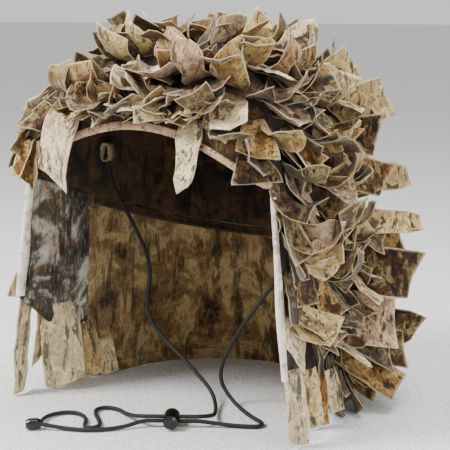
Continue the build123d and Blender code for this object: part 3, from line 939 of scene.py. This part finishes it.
@dataclass
class Hood:
    """Crown panels, drapes, bindings, tapes and headband."""

    finishes: Finishes
    wall: float = 0.0011
    pieces: dict = field(default_factory=dict)

    def settle(self, piece: bpy.types.Object, node: str, slot: str) -> None:
        """Hang a piece on the hood's body in place of its node."""
        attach(piece, "hood")
        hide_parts(node)
        self.pieces[node] = piece
        log.info("made %s", piece.name)

    def two_faced(self, piece: bpy.types.Object, outside: str, inside: str) -> None:
        """Give a sheet its thickness, with its own print on each side."""
        self.finishes.dress(piece, outside)
        piece.data.materials.append(self.finishes.made[inside])
        modifier = piece.modifiers.new("thickness", "SOLIDIFY")
        modifier.thickness = self.wall
        modifier.offset = -1.0
        modifier.material_offset = 1
        bake_modifiers(piece)
        piece.data.polygons.foreach_set("use_smooth", [True] * len(piece.data.polygons))

    def build_crown(self) -> None:
        """Three crown panels cut from one dome."""
        whole = patch("crown", 0.0, 1.0, crown_edge, lambda t: TOP, 180, 44, folds=1.2, curve=2.2)
        cuts = (("crown_left_panel", 0.04, None), ("crown_centre_panel", -0.04, 0.04),
                ("crown_right_panel", None, -0.04))
        for name, low, high in cuts:
            mesh = bmesh.new()
            mesh.from_mesh(whole.data)
            bmesh.ops.remove_doubles(mesh, verts=mesh.verts, dist=0.00002)
            for place, sign in ((low, -1), (high, 1)):
                if place is None:
                    continue
                parts = mesh.verts[:] + mesh.edges[:] + mesh.faces[:]
                bmesh.ops.bisect_plane(mesh, geom=parts, plane_co=(place, 0, 0),
                                       plane_no=(sign, 0, 0), clear_outer=True)
            data = bpy.data.meshes.new(name + "_cloth")
            mesh.to_mesh(data)
            mesh.free()
            piece = bpy.data.objects.new(name + "_cloth", data)
            bpy.context.scene.collection.objects.link(piece)
            data.polygons.foreach_set("use_smooth", [True] * len(data.polygons))
            # Inside face: the crown inner print, darkened as painted shade.
            self.two_faced(piece, "outer cloth print", "crown inner cloth print darkened as painted shade")
            self.settle(piece, name, "hood_cloth")
        bpy.data.objects.remove(whole)

    def build_drapes(self) -> None:
        """Back drape and side drapes, with soft folds."""
        def high(t: float) -> float:
            return seam_height(along_outline(OUTLINES[0], t)[1])

        spans = (("back_drape", T_EAR, 1 - T_EAR, 0, 150, "back drape cloth print"),
                 ("side_drape_left", T_FRONT, T_EAR, 1, 36, "side drape cloth print"),
                 ("side_drape_right", 1 - T_EAR, 1 - T_FRONT, -1, 36, "side drape cloth print"))
        for node, t0, t1, side, columns, inside in spans:
            def low(t: float, side=side) -> float:
                y = along_outline(OUTLINES[1], t)[1]
                return hem_height(side or (1 if t < 0.5 else -1), y)

            piece = patch(node + "_cloth", t0, t1, low, high, columns, 50, folds=1.9)
            self.two_faced(piece, "outer cloth print", inside)
            self.settle(piece, node, "hood_cloth")

    def build_edges(self) -> None:
        """Forehead piping, edge bindings, seam tapes, hem facings and headband."""
        def brow(share: float) -> tuple[float, float]:
            t = (1 - T_FRONT - 0.004) + share * (2 * T_FRONT + 0.008)
            return t, crown_edge(t) + 2.6

        def brow_inner(share: float) -> tuple[float, float]:
            t = (1 - T_FRONT - 0.002) + share * (2 * T_FRONT + 0.004)
            return t, crown_edge(t) + 11.0

        def nape(share: float) -> tuple[float, float]:
            t = T_EAR + share * (1 - 2 * T_EAR)
            return t, seam_height(along_outline(OUTLINES[0], t)[1]) - 5.0

        piece = band("forehead_binding_cloth", brow, 160, 3.4, -2.6, 1.6, puff=0.7)
        self.finishes.dress(piece, "brow piping tape")
        self.settle(piece, "forehead_binding", "brow_piping")
        # Headband and nape seam tape take the crown inner print, darkened as painted shade.
        piece = band("headband_cloth", brow_inner, 120, 8.0, -3.4, -1.3, puff=0.5)
        self.finishes.dress(piece, "crown inner cloth print darkened as painted shade")
        self.settle(piece, "headband", "headband_cloth")
        piece = band("nape_seam_tape_cloth", nape, 160, 4.0, -2.4, -1.2, puff=0.6)
        self.finishes.dress(piece, "crown inner cloth print darkened as painted shade")
        self.settle(piece, "nape_seam_tape", "binding_tape")
        for side, name in ((1, "left"), (-1, "right")):
            front, ear = (T_FRONT, T_EAR) if side > 0 else (1 - T_FRONT, 1 - T_EAR)
            hem = hem_height(side, along_outline(OUTLINES[1], front)[1])
            top = seam_height(FRONT_EDGE) - 1

            def edge(share: float, front=front, hem=hem, top=top, side=side) -> tuple[float, float]:
                return front + side * 0.004, hem + (top - hem) * share

            def seam(share: float, ear=ear, side=side) -> tuple[float, float]:
                low = hem_height(side, EAR_Y) + 12
                return ear, low + (seam_height(EAR_Y) - 12 - low) * share

            piece = band(f"front_edge_binding_{name}_cloth", edge, 60, 6.4, -2.8, 3.4, True, 0.8, 0.6)
            self.finishes.dress(piece, "pale edge tape")
            self.settle(piece, f"front_edge_binding_{name}", "binding_tape")
            piece = band(f"ear_seam_tape_{name}_cloth", seam, 50, 4.0, -2.4, -1.2, True, 0.6)
            self.finishes.dress(piece, "back drape cloth print")
            self.settle(piece, f"ear_seam_tape_{name}", "binding_tape")
            self.hem(f"hem_facing_{name}", min(front, ear) + 0.006 * (side > 0),
                     max(front, ear) - 0.006 * (side < 0), side, 30)
        self.hem("hem_facing_back", T_EAR, 1 - T_EAR, 0, 130)

    def hem(self, node: str, t0: float, t1: float, side: int, steps: int) -> None:
        """Turned-up strip inside one hem."""
        def centre(share: float) -> tuple[float, float]:
            t = t0 + (t1 - t0) * share
            y = along_outline(OUTLINES[1], t)[1]
            return t, hem_height(side or (1 if t < 0.5 else -1), y) + 6.2

        piece = band(node + "_cloth", centre, steps, 6.0, -2.3, -1.2, puff=0.5)
        self.finishes.dress(piece, "side drape cloth print" if side else "back drape cloth print")
        self.settle(piece, node, "binding_tape")

    def sew_seams(self) -> None:
        """Rows of stitches beside the bindings and seams."""
        maker = Seamstress(self.finishes)
        count = 90
        shares = [k / count for k in range(count + 1)]
        spread = [(1 - T_FRONT) + s * 2 * T_FRONT for s in shares]
        maker.sew("forehead_stitches", [surface(t, crown_edge(t) + 5.4, 1.5) for t in spread])
        maker.sew("headband_stitches", [surface(t, crown_edge(t) + 17.5, -3.3) for t in spread])
        around = [T_EAR + s * (1 - 2 * T_EAR) for s in shares]
        for lift, label in ((-7.6, "low"), (-2.4, "high")):
            maker.sew(f"nape_stitches_{label}", [
                surface(t, seam_height(along_outline(OUTLINES[0], t)[1]) + lift, -2.5) for t in around])
        maker.sew("hem_stitches_back", [surface(t, hem_height(1 if t < 0.5 else -1,
                  along_outline(OUTLINES[1], t)[1]) + 10.8, -2.4) for t in around])
        for side, name in ((1, "left"), (-1, "right")):
            front = T_FRONT if side > 0 else 1 - T_FRONT
            hem = hem_height(side, along_outline(OUTLINES[1], front)[1]) + 3
            heights = [hem + (seam_height(FRONT_EDGE) - 4 - hem) * s for s in shares]
            maker.sew(f"edge_stitches_{name}", [surface(front + side * 0.0085, h, -2.5) for h in heights])
            maker.sew(f"edge_stitches_out_{name}", [surface(front + side * 0.0085, h, 1.25) for h in heights])


# Strips sewn close to the crown's highest point
CENTRE_STRIPS = tuple((k * 51, 305.2, 20 * (-1) ** k, 14 + 5 * (k % 4), 38, 29, (0, 2, 3)[k % 3], 0.2,
                       (k * 0.37) % 1) for k in range(8))


@dataclass
class LeafCover:
    """All the leaf strips, row by row, and the long ones that hang and swing."""

    finishes: Finishes
    inner_strips: tuple = ((-70, 78, 74, 38, 0.9, 0.54), (-83, 56, 52, 24, 0.8, 0.4),
                           (-93, 36, 34, 30, 0.7, 0.52))
    rows: tuple = (
        LeafRow("crown_leaves_top", 302, (0, 324, 4), (5, 45), 34, 27, 7, 4.0, Hang.LOOPED, 0.15,
                ((-66, 296, 70, 62, 42, 30, 0, 0.3, 0.55), (-40, 300, 20, 50, 38, 30, 2, 0.4, 0.15),
                 (110, 300, 80, 55, 40, 28, 0, 0.3, 0.4)) + CENTRE_STRIPS),
        LeafRow("crown_leaves_upper", 290, (0, 345, 9), (6, 55), 38, 29, 6, 8.0, Hang.LOOPED, 0.25,
                ((-58, 284, -30, 25, 40, 30, 0, 0.3, 0.3), (14, 282, 10, 30, 42, 32, 0, 0.5, 0.68),
                 (46, 286, -20, 35, 44, 32, 0, 0.3, 0.69))),
        LeafRow("crown_leaves_middle", 268, (0, 348, 15), (6, 60), 39, 29, 5, 11.0, Hang.LOOPED, 0.3,
                ((-62, 262, 30, 10, 46, 34, 3, 0.1, 0.55), (112, 264, 105, 66, 44, 30, 0, 0.1, 0.42),
                 (36, 268, 5, 30, 40, 32, 0, 0.1, 0.7))),
        LeafRow("crown_leaves_lower", 236, (44, 316, 15), (5, 50), 40, 29, 5, 13.0, Hang.LOOPED, 0.35,
                ((116, 242, 95, 68, 56, 37, 0, 0.1, 0.43), (104, 228, 70, 60, 46, 32, 2, 0.1, 0.15),
                 (64, 240, 10, 20, 46, 34, 0, 0.1, 0.5))),
        LeafRow("brow_leaves", 258, (-36, 40, 5), (30, 66), 27, 25, 6, 6.0, Hang.CURLED, 0.15,
                ((29, 247, 0, 8, 56, 22, 3, 0.05, 0.54), (-34, 256, 4, 6, 64, 36, 0, -0.75, 0.55),
                 (-48, 224, 10, 14, 34, 26, 0, 0.1, 0.42), (43, 262, 0, 24, 38, 30, 0, 0.1, 0.5),
                 (50, 250, -8, 14, 38, 30, 2, 0.1, 0.3), (38, 276, 12, 30, 38, 30, 0, 0.2, 0.2),
                 (57, 262, 10, 24, 36, 30, 0, 0.2, 0.67), (2, 254, 80, 10, 44, 16, 1, 0.3, 0.56))),
        LeafRow("nape_leaves", 204, (58, 302, 14), (5, 42), 44, 30, 5, 12.0, Hang.LOOPED, 0.35,
                ((118, 192, 80, 66, 66, 30, 3, 0.1, 0.42), (110, 204, 60, 48, 54, 34, 0, 0.1, 0.2))),
        LeafRow("back_leaves_upper", 166, (98, 262, 10), (5, 40), 44, 30, 5, 12.0, Hang.LOOPED, 0.35,
                ((118, 156, 72, 66, 76, 24, 3, 0.0, 0.42), (112, 166, 40, 40, 56, 34, 2, 0.1, 0.12))),
        LeafRow("back_leaves_middle", 128, (98, 262, 9), (5, 40), 46, 30, 5, 12.0, Hang.CURLED, 0.4,
                ((112, 116, 70, 62, 84, 44, 0, -0.2, 0.05), (122, 132, 74, 64, 60, 30, 0, 0.1, 0.3),
                 (104, 120, 30, 30, 60, 34, 2, 0.2, 0.97))),
        LeafRow("back_leaves_lower", 88, (98, 262, 10), (5, 40), 46, 31, 5, 12.0, Hang.CURLED, 0.4,
                ((104, 80, 62, 62, 86, 46, 0, 0.0, 0.67), (118, 68, 66, 66, 96, 38, 3, -0.2, 0.97),
                 (108, 70, 30, 48, 66, 36, 0, 0.0, 0.12))),
        LeafRow("back_hem_leaves", 52, (98, 262, 8), (3, 30), 48, 31, 5, 10.0, Hang.CURLED, 0.35,
                ((112, 56, 60, 60, 70, 34, 0, -0.1, 0.1), (104, 46, 30, 52, 62, 32, 2, 0.0, 0.3))),
        LeafRow("side_leaves_upper_left", 172, (58, 96, 2), (4, 34), 46, 30, 8, 15.0, Hang.LOOPED, 0.3),
        LeafRow("side_leaves_middle_left", 134, (58, 96, 3), (4, 34), 48, 30, 6, 13.0, Hang.LOOPED, 0.3),
        LeafRow("side_leaves_lower_left", 105, (60, 96, 2), (8, 34), 41, 31, 11, 8.0, Hang.CURLED, 0.3,
                ((90, 70, -10, 62, 84, 30, 1, -0.1, 0.5), (76, 106, 10, 24, 44, 34, 0, 0.2, 0.68))),
        LeafRow("side_leaves_upper_right", 176, (-96, -60, 2), (4, 28), 40, 27, 7, 14.0, Hang.LOOPED, 0.15),
        LeafRow("side_leaves_middle_right", 136, (-96, -60, 3), (4, 24), 42, 28, 5, 12.0, Hang.CURLED, 0.15),
    )

    def settle(self, bed: LeafBed, node: str, body: str) -> bpy.types.Object:
        """Build a bed of strips and put it in its node's place."""
        piece = bed.build()
        self.finishes.dress(piece, "leaf strip cloth print")
        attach(piece, body)
        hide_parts(node)
        log.info("made %s with %d strips", piece.name, len(bed.leaves))
        return piece

    def build_rows(self) -> None:
        """Make each stitched row."""
        for number, row in enumerate(self.rows):
            bed = LeafBed(row.node + "_strips", row.leaves(ROW_SEED + number))
            self.settle(bed, row.node, "hood")

    def hanging(self) -> None:
        """Make the long strips of both hems, from their nodes' own boxes."""
        draw = Random(HANG_SEED)
        for side, sign in (("left", 1), ("right", -1)):
            for number in (1, 2, 3):
                node = f"hanging_leaf_{side}_{number}"
                low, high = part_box(node)
                middle = (low + high) / 2
                normal = Vector((sign, -0.12, 0)).normalized()
                root = Vector((middle.x + sign * 0.0008, middle.y, high.z))
                fall = Vector((sign * 0.16, 0, -1)).normalized()
                leaf = Leaf(root, fall, normal, high.z - low.z, HANG_WIDTH, (3, 0, 2)[number - 1],
                            draw.uniform(0.0, 0.2), draw.uniform(-0.15, 0.2), sign * draw.uniform(0.05, 0.2),
                            draw.uniform(0.42, 0.6))
                piece = self.settle(LeafBed(node + "_strip", [leaf], False), node, node)
            node = f"front_support_leaves_{side}"
            low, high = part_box(node)
            bed = LeafBed(node + "_strips", on_wall=False)
            for share, top in ((0.14, 1.0), (0.86, 0.66 if side == "right" else 0.78)):
                y = low.y + (high.y - low.y) * share
                height = high.z * top
                root = Vector((sign * (0.1306 if share < 0.5 else 0.1226), y, height))
                fall = Vector((sign * 0.1, 0, -1)).normalized()
                bed.add(Leaf(root, fall, Vector((sign, -0.15, 0)), height * 0.985, 0.024, 0,
                             0.0, 0.15, 0.05 * sign, 0.5 + 0.3 * share))
            if side == "right":
                for azimuth, top, length, width, twist, tint in self.inner_strips:
                    point, outward, down = wall_frame(place_round(azimuth, top), top, -3.2)
                    bed.add(Leaf(point, down - outward * 0.12, outward, length * MM, width * MM, 0, 0.0,
                                 0.2, twist, tint))
            self.settle(bed, node, "hood")


@dataclass
class ChinCord:
    """Braided cord in two runs, its tabs, squeeze lock and end bead."""

    finishes: Finishes
    diameter: float = 0.0034
    lock_at: tuple = (26.0, -86.0)
    lock_z: float = 6.8
    lock_turn: float = math.radians(30)
    gap: float = 3.7
    low: float = 1.75
    spring_seat: float = 9.4
    spring_height: float = 5.95
    travel: float = 2.6
    wall_x: float = 106.74
    tab_reach: float = 6.2

    def through(self, distance: float, height: float) -> tuple[float, float, float]:
        """Point on the line that the cord takes through the lock, in millimetres."""
        x, y = self.lock_at
        return (x + math.cos(self.lock_turn) * distance, y + math.sin(self.lock_turn) * distance, height)

    def run(self, name: str, points: list, node: str) -> None:
        """Make one run as a smooth curve through its own route.

        Args:
            name: the piece's name.
            points: the route, in millimetres.
            node: the node that it stands for.
        """
        data = bpy.data.curves.new(name, "CURVE")
        data.dimensions = "3D"
        spline = data.splines.new("NURBS")
        spline.points.add(len(points) - 1)
        for place, point in zip(spline.points, points):
            place.co = (point[0] * MM, point[1] * MM, point[2] * MM, 1.0)
        spline.order_u = 3
        spline.use_endpoint_u = True
        spline.resolution_u = 10
        data.bevel_depth = self.diameter / 2
        data.bevel_resolution = 4
        data.use_fill_caps = True
        piece = bpy.data.objects.new(name, data)
        bpy.context.scene.collection.objects.link(piece)
        data.materials.append(self.finishes.made["black braided cord"])
        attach(piece, "hood")
        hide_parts(node)
        start = tuple(v * MM for v in points[0])
        log.info("made %s", name)

    def build(self) -> None:
        """Lay both runs, and finish the tabs, lock and bead."""
        low, upper, lower = self.low, self.lock_z + self.gap / 2, self.lock_z - self.gap / 2
        tab = self.wall_x - self.tab_reach
        self.run("chin_cord_right_run_braid", [
            (-tab, 2, 204.5), (-tab - 0.2, 1.8, 193), (-93, 1, 177), (-81, 0, 159), (-67, -1, 139),
            (-55, -2, 119), (-52, -3, 99), (-57, -4, 80), (-50, -6, 61), (-34, -7, 47), (-16, -8, 35),
            (1, -9, 22), (17, -12, 11), (31, -27, 3.6), (41, -44, 3.0), (49, -60, 6.3),
            self.through(23, upper), self.through(16, upper), self.through(-16, upper),
            self.through(-23, upper), (-9, -90, 4.6), (-24, -80.5, low),
            (-36, -73.5, low), (-48, -74.5, low), (-52, -84, low), (-44, -95, low), (-32, -106, low),
            (-22, -117, low), (-21.5, -124.5, low), (-27, -129, low), (-33, -124, low),
            (-40, -112, low), (-50, -103, low), (-62, -100, low), (-71, -107, low), (-74, -120, low),
            (-69, -133, low + 1), (-60.8, -144.6, 4.6)], "chin_cord_right_run")
        self.run("chin_cord_left_run_braid", [
            (tab, 2, 204.5), (tab - 0.2, 1.8, 193), (99, -2, 176), (98, -5, 157), (93, -8, 138),
            (84, -10, 119), (72, -12, 103), (59, -12.5, 86), (46, -12, 69), (35, -11.5, 51),
            (27, -12, 35), (26, -12.5, 21), (34, -13, 10), (47, -18, 3.2), (62, -28, low),
            (75, -37, low), (86, -43, low), (89, -52, low), (80, -58, low), (64, -63, low),
            self.through(23, lower), self.through(16, lower), self.through(-16, lower),
            self.through(-23, lower), (-3, -111, low), (-11, -123, low),
            (-22, -132.5, low), (-36, -138, low), (-48, -141, low + 0.6), (-58.2, -147.5, 4.6)],
            "chin_cord_left_run")
        for side, sign in (("left", 1), ("right", -1)):
            self.tab_loop(side, sign * tab * MM)
        for node, finish in (("cord_lock_barrel", "black moulded acetal"),
                             ("cord_lock_plunger", "black moulded acetal"),
                             ("cord_end_bead", "black moulded acetal"),
                             ("cord_lock_spring", "drawn spring wire")):
            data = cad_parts[node].data
            data.materials.clear()
            data.materials.append(self.finishes.made[finish])
        self.load_spring()

    def load_spring(self) -> None:
        """Work out the spring's seat at the barrel's closed end, and give the spring its own mesh."""
        inward = (-math.sin(self.lock_turn), math.cos(self.lock_turn), 0.0)
        seat = tuple((v + w * self.spring_seat) * MM for v, w in zip((*self.lock_at, self.lock_z), inward))
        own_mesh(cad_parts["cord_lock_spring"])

    def tab_loop(self, side: str, x: float) -> None:
        """Folded webbing loop that holds one end of the cord."""
        verts, faces, sides = [], [], 24
        for y in (-0.003, 0.007):
            for grow in (1.0, 0.72):
                for k in range(sides):
                    angle = 2 * math.pi * k / sides
                    reach = 0.0046 * grow
                    lift = 0.0035 if math.sin(angle) > 0 else -0.0012
                    verts.append((x + reach * math.cos(angle), y,
                                  0.2065 + lift + 0.0062 * grow * math.sin(angle)))
        for k in range(sides):
            n = (k + 1) % sides
            rings = [base * sides for base in range(4)]
            outer_near, inner_near, outer_far, inner_far = rings
            faces += [(outer_near + k, outer_near + n, inner_near + n, inner_near + k),
                      (outer_far + n, outer_far + k, inner_far + k, inner_far + n),
                      (outer_near + n, outer_near + k, outer_far + k, outer_far + n),
                      (inner_near + k, inner_near + n, inner_far + n, inner_far + k)]
        piece = mesh_object(f"cord_tab_{side}_webbing", verts, faces)
        self.finishes.dress(piece, "seam tape")
        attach(piece, "hood")
        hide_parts(f"cord_tab_{side}")


@dataclass
class Studio:
    """Pale floor, soft light and the camera."""

    finishes: Finishes
    eye: tuple = (0.6184, -0.9529, 0.3305)
    target: tuple = (0.0165, 0.0103, 0.1506)
    lens: float = 108.2

    def build(self) -> None:
        """Make the floor, lights and camera."""
        floor = mesh_object("studio_floor", [(-30, -30, -0.0005), (30, -30, -0.0005), (30, 30, -0.0005),
                                              (-30, 30, -0.0005)], [(0, 1, 2, 3)], smooth=False)
        self.finishes.dress(floor, "pale studio paper")
        world = bpy.data.worlds.new("studio")
        world.use_nodes = True
        world.node_tree.nodes["Background"].inputs["Color"].default_value = (1, 1, 1, 1)
        world.node_tree.nodes["Background"].inputs["Strength"].default_value = 0.85
        bpy.context.scene.world = world
        self.light("key_light", (-0.75, -1.0, 1.35), 0.55, 52)
        self.light("top_light", (0.25, 0.1, 1.5), 0.8, 22)
        self.light("side_light", (1.3, -0.6, 0.7), 0.8, 10)
        camera = bpy.data.objects.new("camera", bpy.data.cameras.new("camera"))
        bpy.context.scene.collection.objects.link(camera)
        camera.location = self.eye
        heading = Vector(self.target) - Vector(self.eye)
        camera.rotation_euler = heading.to_track_quat("-Z", "Y").to_euler()
        camera.data.lens = self.lens
        camera.data.sensor_width = 36.0
        bpy.context.scene.camera = camera

    def light(self, name: str, place: tuple, size: float, power: float) -> None:
        """One square soft light that faces the hood."""
        data = bpy.data.lights.new(name, "AREA")
        data.size = size
        data.energy = power
        lamp = bpy.data.objects.new(name, data)
        bpy.context.scene.collection.objects.link(lamp)
        lamp.location = place
        heading = Vector((0, 0, 0.15)) - Vector(place)
        lamp.rotation_euler = heading.to_track_quat("-Z", "Y").to_euler()


def main() -> None:
    """Build the hood, its leaves, its cord and the studio."""
    logging.basicConfig(level=logging.INFO, format="%(message)s")
    finishes = Finishes()
    finishes.prepare()
    hood = Hood(finishes)
    hood.build_crown()
    hood.build_drapes()
    hood.build_edges()
    hood.sew_seams()
    cover = LeafCover(finishes)
    cover.build_rows()
    cover.hanging()
    ChinCord(finishes).build()
    Studio(finishes).build()


if __name__ == "__main__":
    main()
